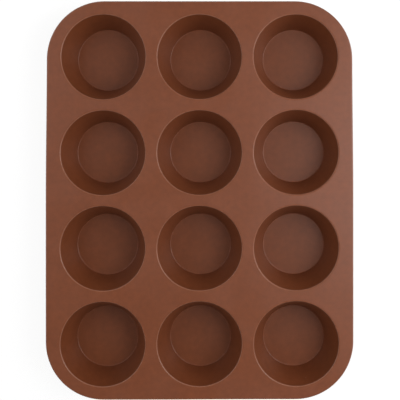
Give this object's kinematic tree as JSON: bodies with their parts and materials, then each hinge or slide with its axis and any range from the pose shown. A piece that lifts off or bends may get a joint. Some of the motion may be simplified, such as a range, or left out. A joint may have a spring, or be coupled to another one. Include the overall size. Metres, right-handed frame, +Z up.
{
  "type": "silicone muffin pan",
  "caption": "Flexible silicone muffin pan: a flat top sheet with rounded corners and an edge bead carries rows of tapered round cups, and bends in the narrow webs between the rows.",
  "frame": {"origin": "centre of the pan's footprint, on the plane that the cups' floors stand on", "axes": "+Z up, out of the cups' mouths; +Y along the long side towards row 1; +X along the short side towards column 3"},
  "size_m": [0.254, 0.33, 0.032],
  "materials": {
    "silicone": "brown silicone, satin"
  },
  "bodies": {
    "row_1": {"sheet_row_1": "silicone", "bead_row_1": "silicone", "cup_r1_c1": "silicone", "cup_r1_c2": "silicone", "cup_r1_c3": "silicone"},
    "row_2": {"sheet_row_2": "silicone", "bead_left_row_2": "silicone", "bead_right_row_2": "silicone", "web_1_2": "silicone", "web_2_3": "silicone", "cup_r2_c1": "silicone", "cup_r2_c2": "silicone", "cup_r2_c3": "silicone"},
    "row_3": {"sheet_row_3": "silicone", "bead_left_row_3": "silicone", "bead_right_row_3": "silicone", "web_3_4": "silicone", "cup_r3_c1": "silicone", "cup_r3_c2": "silicone", "cup_r3_c3": "silicone"},
    "row_4": {"sheet_row_4": "silicone", "bead_row_4": "silicone", "cup_r4_c1": "silicone", "cup_r4_c2": "silicone", "cup_r4_c3": "silicone"}
  },
  "joints": [
    {"name": "fold_1_2", "type": "hinge", "parent": "row_2", "child": "row_1", "pos_m": [0, 0.0793, 0.0307], "axis": [1, 0, 0], "range_deg": [-40, 75], "stiffness_Nm_per_rad": 0.15, "deforming": ["web_1_2"]},
    {"name": "fold_2_3", "type": "hinge", "parent": "row_2", "child": "row_3", "pos_m": [0, 0, 0.0307], "axis": [-1, 0, 0], "range_deg": [-40, 75], "stiffness_Nm_per_rad": 0.15, "deforming": ["web_2_3"]},
    {"name": "fold_3_4", "type": "hinge", "parent": "row_3", "child": "row_4", "pos_m": [0, -0.0793, 0.0307], "axis": [-1, 0, 0], "range_deg": [-40, 75], "stiffness_Nm_per_rad": 0.15, "deforming": ["web_3_4"]}
  ]
}
